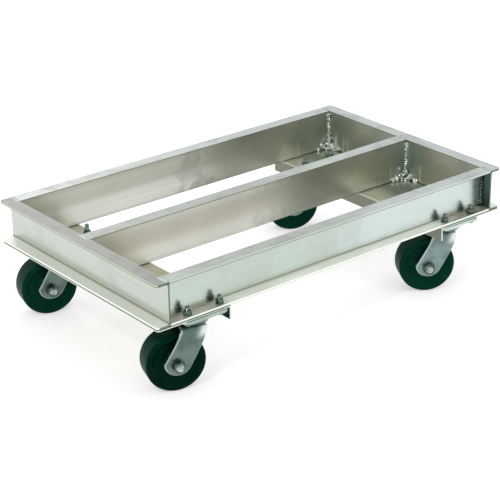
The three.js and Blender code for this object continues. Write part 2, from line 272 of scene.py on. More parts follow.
def mill_aluminium(name, drawn, pale, top, side_rail):
    """Mill-finish aluminium drawn along one axis. Its top is scuffed, its sawn ends are painted
    dark as shade, and the webs' backs carry painted shade toward the right end and the corners,
    mixed with stains."""
    made, tree, shader, place = material(name, 1.0, 0.3)
    x, y, height = node("SeparateXYZ", vector=place).outputs
    grain = use(drawn_grain, vector=place, stretch=drawn, lines=900.0)
    streaks = use(drawn_grain, vector=place, stretch=drawn, lines=260.0)["Broad"]
    smudges = use(handling_smudges, vector=place, size=9.0, spread=0.16)["Mask"]
    stains = use(handling_smudges, vector=place, size=24.0, spread=0.12)["Mask"]
    edges = use(worn_edges, tree, width=1.0 * mm)["Mask"]
    inward = marked(tree, "inward")
    colour = mixed(plus(times(grain["Broad"], 0.3), times(smudges, 0.4)), pale, aluminium_dull)
    rightward = ranged(plus(x, times(stains, 0.05)), *cool_stretch)
    # Painted light: toward the right end the rails' faces are painted paler and cooler.
    colour = mixed(times(rightward, 0.9), colour, aluminium_cool)
    flange = ranged(height, lower_corner + 2 * mm, lower_corner - 1 * mm, 0.0, 0.95)
    flange_top = rail_foot + rail_flange
    upward = ranged(height, flange_top - 0.7 * mm, flange_top - 0.1 * mm)
    by_bolts = times(ranged(absolute(x), *bolt_stretch, 0.0, 0.95),
                     ranged(stains, 0.0, 0.6, 0.75, 1.0), upward, side_rail)
    # Painted reflection: the lower flange is painted near white, for the bright reflection it
    # shows.
    colour = mixed(flange, colour, mixed(by_bolts, flange_pale_reflection, flange_brown))

    low = ranged(height, rail_foot + 46 * mm, rail_foot + 14 * mm, 0.0, 0.9)
    left_back = mixed(times(streaks, 0.45), mixed(low, back_pale, back_foot), back_streak)
    # Painted shade and reflection: the webs' backs darken toward the right, browner at its end.
    right_back = mixed(ranged(x, *brown_stretch), back_shade, back_brown)
    back = mixed(rightward, left_back, right_back)
    # Painted shade: the webs' backs darken near the inner corners, toward the right end.
    corner_shade = most(*[use(near_upright, vector=place, foot=foot, reach=corner_shade_reach)["Mask"]
                   for foot in ((end_web, side_web, 0), (end_web, -centre_web, 0))])
    corner_shade_and_stains = times(plus(times(corner_shade, 0.75), times(stains, 0.35)), rightward)
    back = mixed(corner_shade_and_stains, back, back_stain_and_shade)
    upright_place = node("Mapping", vector=place, scale=(1, 1, 0.07)).outputs[0]
    scratches = ranged(mottle(upright_place, 120.0, 1.0), 0.60, 0.74)
    spatter = ranged(height, rail_foot + 44 * mm, rail_foot + 20 * mm)
    back = mixed(times(scratches, rightward, spatter, corner_shade), back, aluminium_bright)
    # Painted shade: the end webs' backs inside the side rails' channels are dark.
    recess_shade = ranged(absolute(y), side_web + 2 * mm, side_web + 5 * mm)
    back = mixed(recess_shade, back, back_recess_shade)
    # Grime and painted shade along the top edge of the webs' backs.
    back = mixed(band(height, deck_top - 0.9 * mm, 1.0 * mm), back, grime_and_crease_shade)
    # Painted shade along the foot of the webs' backs, where they sit on the angle.
    back = mixed(times(band(height, rail_foot, 1.8 * mm), 0.85), back, back_seat_shade)
    colour = mixed(inward, colour, back)

    scuffed = ranged(height, deck_top - 0.4 * mm, deck_top - 0.1 * mm)
    smeared = plus(times(stains, 0.25), ranged(grain["Fine"], 0.35, 0.75, 0.0, 0.2))
    # Painted light: the tops are lighter toward the rear rail and toward the right end.
    rear = times(ranged(y, 0.0, side_web), side_rail)
    lit_top = mixed(rightward, mixed(rear, top, top_rear), top_cool)
    colour = mixed(scuffed, colour, mixed(smeared, lit_top, top_smeared))
    # Grime and painted shade: dark lines in the lower corner, under the top flange, at the foot.
    corner = times(ranged(height, lower_corner - 0.8 * mm, lower_corner - 0.2 * mm),
                   ranged(height, lower_corner + 3.2 * mm, lower_corner + 1.2 * mm))
    lines = most(corner, band(height, deck_top - rail_flange, 2.3 * mm),
                 band(height, rail_foot, 1.3 * mm))
    lines = times(lines, arithmetic("SUBTRACT", 1.0, inward), 0.8)
    colour = mixed(times(edges, 0.6), colour, aluminium_bright)
    colour = mixed(lines, colour, grime_and_crease_shade)
    # Painted shade on the sawn ends.
    colour = mixed(times(marked(tree, "sawn"), 0.85), colour, sawn_end_shade)
    dullness = plus(times(grain["Fine"], 0.09), times(smudges, 0.1), times(scuffed, 0.12),
                    times(inward, 0.15), times(flange, 0.1), 0.2)
    # The lower flange's top is made partly non-metallic, so that its painted reflection shows.
    bare = arithmetic("SUBTRACT", 1.0, times(flange, upward, 0.75))
    fed(shader, base_color=colour, roughness=dullness, metallic=bare)
    bumped(shader, grain["Fine"], 0.01 * mm, 0.05)
    return made


def placed(name, data):
    made = bpy.data.objects.new(name, data)
    bpy.context.scene.collection.objects.link(made)
    return made


def softened(made, width, segments, degrees):
    """Rounds a piece's edges that are sharper than "degrees"."""
    soft = made.modifiers.new("soft_edges", "BEVEL")
    soft.width = width
    soft.segments = segments
    soft.limit_method = "ANGLE"
    soft.angle_limit = math.radians(degrees)
    soft.harden_normals = True


def piece(name, shape, look, body, replaces=(), edge=0.0):
    """A finished mesh that rides on its body, with its edges softened by "edge"."""
    data = bpy.data.meshes.new(name)
    shape.to_mesh(data)
    shape.free()
    data.materials.append(look)
    made = placed(name, data)
    data.shade_smooth()
    if edge:
        softened(made, edge, 2, 30)
    else:
        data.set_sharp_from_angle(angle=math.radians(38))
    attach(made, body)
    if replaces:
        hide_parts(*replaces)
    return made


def spans(edge, axis, least):
    """Whether an edge reaches farther than "least" along an axis."""
    a, b = [vert.co[axis] for vert in edge.verts]
    return abs(a - b) > least


def bar(section, length):
    """A section of (x, z) corners extruded along Y, centred on Y = 0, and its long edges."""
    shape = bmesh.new()
    start = [shape.verts.new((x, -length / 2, z)) for x, z in section]
    face = shape.faces.new(start)
    made = bmesh.ops.extrude_face_region(shape, geom=[face])
    bmesh.ops.translate(shape, vec=(0, length, 0),
                        verts=[v for v in made["geom"] if isinstance(v, bmesh.types.BMVert)])
    bmesh.ops.recalc_face_normals(shape, faces=shape.faces)
    return shape, [e for e in shape.edges if spans(e, 1, length / 2)]


def rounded_off(shape, edges, radius, segments):
    bmesh.ops.bevel(shape, geom=edges, offset=radius, offset_type="OFFSET", segments=segments,
                    profile=0.5, affect="EDGES", material=-1)


def channel(length, flange, height, corner):
    """A channel with its web's back on X = 0, its flanges toward +X and its foot on Z = 0."""
    t, w = rail_flange, rail_web
    shape, long_edges = bar(
        [(0, 0), (flange, 0), (flange, t), (w, t), (w, height - t), (flange, height - t),
         (flange, height), (0, height)], length)
    if corner:
        tips = [e for e in shape.edges
                if spans(e, 2, t / 2) and all(v.co.x > flange - t / 2 for v in e.verts)]
        rounded_off(shape, tips, corner, 8)
        long_edges = [e for e in shape.edges if spans(e, 1, length / 2)]
    inside = [e for e in long_edges if abs(e.verts[0].co.x - w) < t / 4
              and t / 2 < e.verts[0].co.z < height - t / 2]
    rounded_off(shape, inside, rail_fillet, 5)
    return shape


end_low, end_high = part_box("right_end_rail")
side_low, side_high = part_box("front_side_rail")
rail_foot, deck_top = end_low.z, end_high.z
rail_height = end_high.z - end_low.z
rail_reach = end_high.x - end_low.x
end_length = end_high.y - end_low.y
side_length = side_high.x - side_low.x
end_web, side_web = end_low.x, -side_high.y
centre_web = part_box("centre_rail")[0].y
lower_corner = rail_foot + rail_flange + rail_fillet / 3
# The left end rail's top is darker than the other rails' tops.
aluminium_handled = mill_aluminium(
    "aluminium_handled", drawn_across, aluminium_pale, top_dark, 0.0)
aluminium_across = mill_aluminium("aluminium_across", drawn_across, aluminium_pale, top_grey, 0.0)
aluminium_along = mill_aluminium("aluminium_along", drawn_along, aluminium_greenish, top_grey, 1.0)

for name, x, y, turn, look in [
    ("left_end_rail", -end_web, 0, math.pi, aluminium_handled),
    ("right_end_rail", end_web, 0, 0, aluminium_across),
    ("front_side_rail", 0, -side_web, -math.pi / 2, aluminium_along),
    ("rear_side_rail", 0, side_web, math.pi / 2, aluminium_along),
    ("centre_rail", 0, centre_web, math.pi / 2, aluminium_along),
]:
    is_end = name.endswith("end_rail")
    rail = channel(end_length if is_end else side_length, rail_reach, rail_height,
                   rail_corner if is_end else 0)
    own_faces(rail, "inward", lambda face: face.normal.x < -0.9)
    own_faces(rail, "sawn", lambda face: abs(face.normal.y) > 0.9)
    stand = Matrix.Translation((x, y, rail_foot)) @ Matrix.Rotation(turn, 4, "Z")
    bmesh.ops.transform(rail, matrix=stand, verts=rail.verts)
    piece("dressed_" + name, rail, look, "deck", [name], rail_edge)


# Cross angles
# Two aluminium angles bolted between the casters and the rails. Each one's flat leg lies under
# the rails as far as the deck's end, and its short leg hangs at the inner edge.

angle_wall = 3.2 * mm
angle_bend = 3 * mm
angle_fillet = 2 * mm
sawn_pale = (0.66, 0.74, 0.68, 1)
seam_shade = (0.03, 0.055, 0.03, 1)
angle_tan, angle_browner = (0.56, 0.54, 0.40, 1), (0.55, 0.56, 0.47, 1)
angle_stained = (0.40, 0.44, 0.37, 1)
angle_hanging_shade = (0.215, 0.215, 0.175, 1)
angle_caster_side_shade = (0.02, 0.085, 0.055, 1)


def angle_aluminium():
    """Bare aluminium, tan at the left and browner at the right, with bright sheared edges, a
    painted highlight along the bend and painted shade on the hanging leg.
    """
    made, tree, shader, place = material("angle_aluminium", 1.0, 0.32)
    x, _, height = node("SeparateXYZ", vector=place).outputs
    grain = use(drawn_grain, vector=place, stretch=drawn_across, lines=700.0)
    stains = use(handling_smudges, vector=place, size=28.0, spread=0.14)["Mask"]
    edges = use(worn_edges, tree, width=0.8 * mm)["Mask"]
    colour = mixed(ranged(x, *middle_stretch), angle_tan, angle_browner)
    shade = plus(times(stains, 0.4), times(grain["Broad"], 0.2))
    colour = mixed(shade, colour, angle_stained)
    # Painted shade on the hanging leg's face toward the deck's middle.
    colour = mixed(marked(tree, "hanging"), colour, angle_hanging_shade)
    # Painted shade and reflection on the hanging leg's side toward the caster.
    colour = mixed(marked(tree, "sheltered"), colour, angle_caster_side_shade)
    # Worn edges, and a painted highlight along the bend.
    brightened = most(times(edges, 0.75), marked(tree, "bend"))
    colour = mixed(brightened, colour, aluminium_bright)
    sawn = marked(tree, "sawn")
    colour = mixed(sawn, colour, sawn_pale)
    # Painted shade along the top of the sawn ends, under the rail's flange.
    colour = mixed(times(band(height, angle_top, 1.5 * mm), sawn), colour, seam_shade)
    fed(shader, base_color=colour, roughness=plus(times(grain["Fine"], 0.1), 0.26))
    bumped(shader, grain["Fine"], 0.02 * mm, 0.3)
    return made


angle_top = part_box("left_cross_angle")[1].z
angle_look = angle_aluminium()

for name, turn in [("left_cross_angle", math.pi), ("right_cross_angle", 0)]:
    low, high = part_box(name)
    inner = low.x if turn == 0 else -high.x
    reach, drop = high.x - low.x, high.z - low.z
    angle, long_edges = bar(
        [(0, 0), (angle_wall, 0), (angle_wall, drop - angle_wall), (reach, drop - angle_wall),
         (reach, drop), (0, drop)], high.y - low.y)
    upper = [e for e in long_edges if e.verts[0].co.z > drop / 2]
    outer = [e for e in upper if e.verts[0].co.x < angle_wall / 2]
    inside = [e for e in upper if abs(e.verts[0].co.x - angle_wall) < angle_wall / 4]
    rounded_off(angle, outer, angle_bend, 6)
    inside = [e for e in inside if e.is_valid]
    rounded_off(angle, inside, angle_fillet, 4)
    tips = [e for e in angle.edges if spans(e, 2, angle_wall / 2)
            and all(v.co.x > reach - angle_wall / 2 for v in e.verts)]
    rounded_off(angle, tips, rail_corner, 8)
    own_faces(angle, "sawn", lambda face: abs(face.normal.z) < 0.5 and (
        abs(face.normal.y) > 0.9 or face.calc_center_median().x > reach / 2))
    # The bend's faces, which get a painted highlight.
    own_faces(angle, "bend", lambda face: face.normal.x < -0.3 and face.normal.z > 0.3)
    own_faces(angle, "hanging", lambda face: face.normal.x < -0.95)
    # The hanging leg's side toward the caster, which gets painted shade.
    own_faces(angle, "sheltered", lambda face: (
        face.normal.x > 0.95 and face.calc_center_median().x < reach / 2))
    side = 1 if turn == 0 else -1
    stand = Matrix.Translation((side * inner, 0, low.z)) @ Matrix.Rotation(turn, 4, "Z")
    bmesh.ops.transform(angle, matrix=stand, verts=angle.verts)
    piece("dressed_" + name, angle, angle_look, "deck", [name], 0.35 * mm)


# Weld beads
# Aluminium fillet welds run down the corners where the rails' webs meet, laid in overlapping
# ripples. The bright metal was never cleaned, so each ripple shows.

bead_radius = 5.5 * mm
bead_pitch = 4.4 * mm
bead_steps_a_ripple = 6
bead_ripple = 0.3
bead_sink = 2.0 * mm
bead_tone = (0.60, 0.64, 0.60, 1)
weld_recess_shade = (0.09, 0.12, 0.10, 1)
soot_and_crevice_shade = (0.055, 0.085, 0.065, 1)
draw = random.Random(7)
noise.seed_set(7)


def weld_metal(name, crest):
    """As-welded aluminium: sharp crests in the tone "crest", patches of soot, and painted
    shade in the crevices.
    """
    made, tree, shader, place = material(name, 1.0, 0.2)
    soot = ranged(mottle(place, 300.0), 0.50, 0.43, 0.0, 0.75)
    # Painted shade in the hollows between the ripples, mixed with soot.
    crests = node("NewGeometry", tree=tree).outputs["Pointiness"]
    dark = most(ranged(crests, 0.52, 0.45), soot)
    # Painted shade on the beads in the side rails' channels.
    aside = absolute(node("SeparateXYZ", vector=place).outputs["Y"])
    recess_shade = ranged(aside, side_web, side_web + 2 * mm, 0.0, 0.9)
    colour = mixed(dark, mixed(recess_shade, crest, weld_recess_shade), soot_and_crevice_shade)
    fed(shader, base_color=colour, roughness=ranged(dark, 0.0, 1.0, 0.12, 0.4))
    bumped(shader, mottle(place, 900.0, 3.0), 0.15 * mm, 0.5)
    return made


bead_look = weld_metal("bead_metal", bead_tone)


def bead(foot, lean, length):
    """A rippled bead rising from "foot". Its middle leans out of the corner along "lean"."""
    shape = bmesh.new()
    ring = bmesh.ops.create_circle(shape, cap_ends=True, radius=bead_radius, segments=14)["verts"]
    edges = [e for e in shape.edges if e.is_boundary]
    steps = int(length / bead_pitch) * bead_steps_a_ripple
    centre = Vector((0, 0, 0))
    size = 1.0
    for step in range(1, steps + 1):
        grown = bmesh.ops.extrude_edge_only(shape, edges=edges)["geom"]
        ring = [v for v in grown if isinstance(v, bmesh.types.BMVert)]
        edges = [e for e in grown if isinstance(e, bmesh.types.BMEdge)]
        phase = (step % bead_steps_a_ripple) / bead_steps_a_ripple
        end = min(step, steps - step) / bead_steps_a_ripple
        wanted = (1 - bead_ripple + bead_ripple * math.sin(math.pi * phase)) * min(1, 0.35 + end)
        move = Vector((draw.gauss(0, 0.1 * mm), draw.gauss(0, 0.1 * mm), length / steps))
        centre += move
        bmesh.ops.translate(shape, vec=move, verts=ring)
        bmesh.ops.scale(shape, vec=Vector((1, 1, 1)) * wanted / size,
                        space=Matrix.Translation(-centre), verts=ring)
        size = wanted
    bmesh.ops.edgeloop_fill(shape, edges=edges)
    bmesh.ops.recalc_face_normals(shape, faces=shape.faces)
    stand = Vector(foot) + Vector(lean)
    bmesh.ops.translate(shape, vec=stand, verts=shape.verts)
    for vert in shape.verts:
        vert.co += 0.8 * mm * noise.noise_vector(vert.co * 330)
        for axis in (0, 1):
            out = math.copysign(1, lean[axis])
            vert.co[axis] = foot[axis] + out * max(out * (vert.co[axis] - foot[axis]), -bead_sink)
    return shape


bead_foot = rail_foot + 5 * mm
bead_length = rail_height - 9 * mm
inside_lean = 1.1 * mm
channel_foot = rail_foot + rail_flange + 2 * mm
channel_bead = rail_height - 2 * rail_flange - 4 * mm

for end, sx in [("left", -1), ("right", 1)]:
    for line, web, outward in [("front", -side_web, -1), ("rear", side_web, 1),
                               ("centre", centre_web, 1)]:
        open_side = -outward
        corner = bead((sx * end_web, web, bead_foot),
                      (-sx * inside_lean, open_side * inside_lean, 0), bead_length)
        piece(f"{end}_{line}_inner_bead", corner, bead_look, "deck")
        hollow = bead((sx * side_length / 2, web + outward * rail_web, channel_foot),
                      (-sx * inside_lean, outward * inside_lean, 0), channel_bead)
        piece(f"{end}_{line}_channel_bead", hollow, bead_look, "deck")


# Weld deposits at the corners' feet
# Where each bead ends, the welder ran short lumpy strings along the feet of both webs to catch
# the cross angle, and left them uncleaned.

string_length = 29 * mm
splash_reach = 13 * mm
lump_radius = 3.9 * mm
lump_share = (0.7, 1.3)
lumps_a_string = 11
lumps_a_drip = 7
lumps_a_splash = 6
drip_top, drip_pitch = 14 * mm, 2.4 * mm
drip_offset = 3 * mm
deposit_voxel = 0.6 * mm
deposit_sink = 3.3 * mm
deposit_tone = (0.97, 0.985, 0.965, 1)
deposit_look = weld_metal("deposit_metal", deposit_tone)


def deposit(corner, toward_x, toward_y):
    """Lumps along both webs' feet and a drip in the corner, grown together into one body."""
    shape = bmesh.new()

    def lump(at, radius):
        bmesh.ops.create_icosphere(shape, subdivisions=3, radius=radius,
                                   matrix=Matrix.Translation(at))

    for direction in (Vector((toward_x, 0, 0)), Vector((0, toward_y, 0))):
        for i in range(lumps_a_string):
            along = corner + direction * string_length * (i + draw.random()) / lumps_a_string
            shift = Vector([draw.gauss(0, 1.2 * mm), draw.gauss(0, 1.2 * mm),
                            draw.uniform(0, 7 * mm)])
            lump(along + shift, lump_radius * draw.uniform(*lump_share))
    for i in range(lumps_a_drip):
        drop = Vector((toward_x * drip_offset, toward_y * drip_offset, drip_top - drip_pitch * i))
        shift = Vector([draw.gauss(0, 1.3 * mm) for _ in range(3)])
        lump(corner + drop + shift, lump_radius * draw.uniform(0.9, 1.4))
    for i in range(lumps_a_splash):
        spread = Vector((toward_x * draw.uniform(2 * mm, splash_reach),
                         toward_y * draw.uniform(2 * mm, splash_reach), -0.5 * mm))
        lump(corner + spread, lump_radius * draw.uniform(0.6, 1.0))
    for vert in shape.verts:
        vert.co += 1.8 * mm * noise.noise_vector(vert.co * 240)
        out = vert.co - corner
        out.x = toward_x * max(toward_x * out.x, -deposit_sink)
        out.y = toward_y * max(toward_y * out.y, -deposit_sink)
        out.z = max(out.z, -1.5 * deposit_sink)
        vert.co = corner + out
    return shape


def grown_together(made):
    join = made.modifiers.new("grown_together", "REMESH")
    join.mode = "VOXEL"
    join.voxel_size = deposit_voxel
    join.use_smooth_shade = True


string_height = rail_foot + 2.2 * mm
for end, sx in [("left", -1), ("right", 1)]:
    for line, web, toward_y in [("front", -side_web, 1), ("rear", side_web, -1),
                                ("centre", centre_web, -1)]:
        corner = Vector((sx * (end_web - 1.5 * mm), web + toward_y * 1.5 * mm, string_height))
        made = piece(f"{end}_{line}_weld_deposit", deposit(corner, -sx, toward_y), deposit_look,
                     "deck")
        grown_together(made)


# Ground welds on the deck's top
# The joints' top welds were ground nearly flush, and left smooth bright pads across the seams.

pad_rise = 0.3 * mm
pad_sink = 0.25 * mm
pad_across = 11 * mm
pad_outline_share = 0.3
pad_pale, pad_dull = (0.48, 0.51, 0.50, 1), (0.33, 0.35, 0.34, 1)


def ground_metal():
    made, tree, shader, place = material("ground_weld", 1.0, 0.3)
    scratch = use(drawn_grain, vector=place, stretch=(1, 0.25, 1), lines=1500.0)["Fine"]
    soft = use(handling_smudges, vector=place, size=70.0, spread=0.2)["Mask"]
    colour = mixed(soft, pad_pale, pad_dull)
    fed(shader, base_color=colour, roughness=ranged(scratch, 0.0, 1.0, 0.34, 0.5))
    bumped(shader, scratch, 0.03 * mm, 0.5)
    return made


ground_look = ground_metal()
pad_middle = side_low.y + rail_reach / 2
for end, sx in [("left", -1), ("right", 1)]:
    for line, middle in [("front", pad_middle), ("rear", -pad_middle),
                         ("centre", centre_web + rail_reach / 2)]:
        pad = bmesh.new()
        bmesh.ops.create_grid(pad, x_segments=20, y_segments=32, size=1)
        seam = Vector((sx * (end_web + 1.5 * mm), middle, deck_top))
        for vert in pad.verts:
            u, v = vert.co.x, vert.co.y
            ragged = pad_outline_share * noise.noise(Vector((u * 2.5, v * 2.5, sx + middle * 40)))
            rim = max(abs(u), abs(v) ** 3) + ragged
            rise = pad_rise * (1 - rim * rim) - pad_sink * max(0, rim - 0.6)
            vert.co = seam + Vector((u * pad_across / 2, v * (rail_reach / 2 - 0.6 * mm), rise))
        made = piece(f"{end}_{line}_ground_weld", pad, ground_look, "deck")
        wall = made.modifiers.new("sunk_wall", "SOLIDIFY")
        wall.thickness = 1.2 * mm
        wall.offset = -1


# Caster top plates
# Square zinc-plated steel plates, bolted up under the cross angles. Their corners are rounded
# and their edges broken by the stamping.

# The left casters' zinc is painted darker and the right casters' lighter, as painted shade and
# light.
zinc_tones = {  # the pale and the dull tone
    "left_fork": ((0.155, 0.215, 0.19, 1), (0.10, 0.15, 0.13, 1)),
    "right_fork": ((0.225, 0.31, 0.30, 1), (0.15, 0.215, 0.205, 1)),
    "left_race": ((0.42, 0.50, 0.44, 1), (0.25, 0.33, 0.28, 1)),
    "right_race": ((0.60, 0.70, 0.64, 1), (0.42, 0.52, 0.46, 1)),
}
zinc_bright = (0.74, 0.80, 0.79, 1)
zinc_shaded = (0.05, 0.10, 0.085, 1)
plate_corner = 12 * mm
corners = ["front_left", "rear_left", "front_right", "rear_right"]
joints = {joint["name"]: joint for joint in frame["joints"]}
kingpins = {corner: Vector(joints[f"{corner}_caster_swivel"]["pos_m"]) for corner in corners}
upright_at = {corner: Matrix.Translation((pin.x, pin.y, 0)) for corner, pin in kingpins.items()}


def plated_steel(name, tones, roughness, spots):
    """Zinc-plated steel: a cool satin coat with cloudy patches and brighter worn edges. On a fork
    it also carries painted shade under the crown and a painted highlight on shoulder and edges.
    """
    made, tree, shader, place = material(name, 1.0, roughness)
    pale, dull = tones
    clouds = use(handling_smudges, vector=place, size=spots, spread=0.18)
    edges = use(worn_edges, tree, width=0.8 * mm)["Mask"]
    colour = mixed(clouds["Mask"], pale, dull)
    colour = mixed(times(clouds["Specks"], 0.35), colour, dull)
    # Painted shade under a fork's crown, and its painted highlight together with worn edges.
    colour = mixed(marked(tree, "crowned"), colour, zinc_shaded)
    brightened = most(times(edges, 0.6), marked(tree, "pressed"))
    colour = mixed(brightened, colour, zinc_bright)
    rough = ranged(clouds["Mask"], 0.0, 1.0, roughness - 0.05, roughness + 0.08)
    fed(shader, base_color=colour, roughness=rough)
    bumped(shader, mottle(place, 1800.0), 0.03 * mm, 0.3)
    return made


race_looks, fork_looks = [
    {side: plated_steel(f"{side}_{part}_zinc", zinc_tones[f"{side}_{part}"], 0.33, 45.0)
     for side in ("left", "right")} for part in ("race", "fork")]
race_zinc = {corner: race_looks[corner.split("_")[1]] for corner in corners}
fork_zinc = {corner: fork_looks[corner.split("_")[1]] for corner in corners}

for corner in corners:
    low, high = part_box(f"{corner}_top_plate")
    plate = bmesh.new()
    bmesh.ops.create_cube(plate, size=1)
    bmesh.ops.scale(plate, vec=high - low, verts=plate.verts)
    upright = [e for e in plate.edges if spans(e, 2, (high.z - low.z) / 2)]
    rounded_off(plate, upright, plate_corner, 10)
    bmesh.ops.translate(plate, vec=(low + high) / 2, verts=plate.verts)
    piece(f"{corner}_stamped_plate", plate, race_zinc[corner], "deck",
          [f"{corner}_top_plate"], 0.7 * mm)


# Swivel races
# A cupped upper race hangs under each plate, and its skirt shields the balls. The lower race is
# a saucer on the fork's crown.

cup_rim = 3.4 * mm
cup_shoulder = 3 * mm
saucer_radius = 27.5 * mm
saucer_edge = 3.4 * mm
saucer_rise = 3.5 * mm
race_bore = 6.5 * mm


def curved(points, radius, steps=4):
    """An outline with every inner corner turned into a small curve."""
    result = [points[0]]
    for before, at, after in zip(points, points[1:], points[2:]):
        b, p, a = Vector(before), Vector(at), Vector(after)
        cut = min(radius, (b - p).length * 0.45, (a - p).length * 0.45)
        start, end = p + (b - p).normalized() * cut, p + (a - p).normalized() * cut
        for i in range(steps + 1):
            s = i / steps
            result.append(tuple(start.lerp(p, s).lerp(p.lerp(end, s), s)))
    return result + [points[-1]]


def turned(profile, steps=72):
    """A body of (radius, level) points spun about Z. A bored one repeats its first point last."""
    shape = bmesh.new()
    verts = [shape.verts.new((r, 0, z)) for r, z in profile]
    edges = [shape.edges.new(pair) for pair in zip(verts, verts[1:])]
    bmesh.ops.spin(shape, geom=verts + edges, cent=(0, 0, 0), axis=(0, 0, 1), angle=2 * math.pi,
                   steps=steps, use_merge=True, use_duplicate=False)
    bmesh.ops.remove_doubles(shape, verts=shape.verts, dist=0.001 * mm)
    bmesh.ops.recalc_face_normals(shape, faces=shape.faces)
    return shape


def ring(inner, outer, low, high, steps=72):
    """A plain ring of square section about Z."""
    return turned([(inner, low), (outer, low), (outer, high), (inner, high), (inner, low)], steps)


def stood(shape, stand):
    bmesh.ops.transform(shape, matrix=stand, verts=shape.verts)
    return shape


for corner in corners:
    low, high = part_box(f"{corner}_race_cup")
    radius = (high.x - low.x) / 2
    inside = radius - cup_rim
    ceiling = high.z - 4.4 * mm
    profile = curved(
        [(race_bore, ceiling), (inside, ceiling), (inside, low.z), (radius, low.z),
         (radius, high.z - cup_shoulder), (radius - cup_shoulder, high.z), (race_bore, high.z)],
        1.4 * mm)
    at = upright_at[corner]
    piece(f"{corner}_upper_race", stood(turned(profile + profile[:1]), at), race_zinc[corner],
          "deck", [f"{corner}_race_cup"])
    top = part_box(f"{corner}_fork")[1].z
    under = top - saucer_rise - 1.3 * mm
    profile = curved(
        [(race_bore, under), (saucer_radius - saucer_edge, under),
         (saucer_radius, under + 1.6 * mm), (saucer_radius, top - 0.9 * mm),
         (saucer_radius - 1.2 * mm, top), (race_bore, top)], 1.0 * mm)
    piece(f"{corner}_lower_race", stood(turned(profile + profile[:1]), at), fork_zinc[corner],
          f"{corner}_swivel", [f"{corner}_fork"])


# Kingpins and ball bearings
# Inside each caster a headed steel kingpin carries the fork, and caged balls roll between the
# races. The steel is dark and oiled.

oiled_tones = (0.20, 0.22, 0.21, 1), (0.09, 0.10, 0.095, 1)
kingpin_radius = 6.2 * mm
kingpin_flange = 12 * mm
kingpin_head = 8.4 * mm
kingpin_tip_rise = 3.6 * mm
kingpin_flange_rise = 6.2 * mm
ball_radius = 3.2 * mm
ball_circle = 22 * mm
ball_count = 8
cage_half = (2.2 * mm, 0.8 * mm)

oiled_steel = plated_steel("oiled_steel", oiled_tones, 0.36, 60.0)

for corner in corners:
    at = upright_at[corner]
    low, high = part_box(f"{corner}_kingpin")
    step, crown = low.z + kingpin_tip_rise, low.z + kingpin_flange_rise
    profile = curved(
        [(0, low.z), (kingpin_head - 1.6 * mm, low.z), (kingpin_head, low.z + 1.6 * mm),
         (kingpin_head, step), (kingpin_flange, step), (kingpin_flange, crown),
         (kingpin_radius, crown), (kingpin_radius, high.z), (0, high.z)], 0.8 * mm)
    piece(f"{corner}_headed_kingpin", stood(turned(profile, 48), at), oiled_steel, "deck",
          [f"{corner}_kingpin"])
    low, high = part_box(f"{corner}_ball_cage")
    level = (low.z + high.z) / 2
    half_width, half_height = cage_half
    bearing = ring(ball_circle - half_width, ball_circle + half_width, level - half_height,
                   level + half_height, 64)
    for i in range(ball_count):
        a = 2 * math.pi * i / ball_count
        spot = Matrix.Translation((ball_circle * math.cos(a), ball_circle * math.sin(a), level))
        bmesh.ops.create_uvsphere(bearing, u_segments=20, v_segments=12, radius=ball_radius,
                                  matrix=spot)
    piece(f"{corner}_caged_balls", stood(bearing, at), oiled_steel, f"{corner}_swivel",
          [f"{corner}_ball_cage"])


# Mounting bolts
# Four zinc-plated hex bolts a caster go up through plate, angle and rail. A lock nut with a round
# collar is run down on each, and the threaded end stands above it.

bolt_radius = 3.95 * mm
bolt_flats = 12.7 * mm
bolt_head = 5.3 * mm
nut_hex = 6.5 * mm
nut_height = 8.9 * mm
nut_collar = 5.9 * mm
seat_gap = 0.3 * mm
thread_depth = 0.55 * mm
thread_pitch = 1.41 * mm
# The bolts' zinc is painted dark, as a painted reflection of dark surroundings.
bolt_tones = (0.09, 0.15, 0.125, 1), (0.03, 0.065, 0.05, 1)
bolt_zinc = plated_steel("bolt_zinc", bolt_tones, 0.2, 150.0)


def hexagon(flats, low, high, chamfer):
    """A hex body from "low" to "high" with both rims of its faces chamfered."""
    shape = bmesh.new()
    bmesh.ops.create_cone(shape, cap_ends=True, segments=6, radius1=flats / math.sqrt(3),
                          radius2=flats / math.sqrt(3), depth=high - low,
                          matrix=Matrix.Translation((0, 0, (low + high) / 2)))
    rims = [e for e in shape.edges if not spans(e, 2, (high - low) / 2)]
    rounded_off(shape, rims, chamfer, 2)
    return shape


def merged_into(shape, other):
    """Adds the bmesh "other" to "shape"."""
    data = bpy.data.meshes.new("passing")
    other.to_mesh(data)
    other.free()
    shape.from_mesh(data)
    bpy.data.meshes.remove(data)
    return shape


def threaded(radius, low, high, plain_from):
    """A shank from "low" up to "high", threaded above "plain_from". Its tip is chamfered and has a
    shallow dimple, as a turned bolt's end has."""
    profile = [(0, low), (radius, low), (radius, plain_from)]
    level = plain_from
    while level + thread_pitch < high - 1.2 * mm:
        profile.append((radius - thread_depth, level + thread_pitch / 2))
        level += thread_pitch
        profile.append((radius, level))
    profile += [(radius - 0.5 * mm, high - 0.9 * mm), (radius - 1.3 * mm, high),
                (radius * 0.5, high), (radius * 0.36, high - 0.9 * mm), (0, high - 0.9 * mm)]
    return turned(profile, 28)


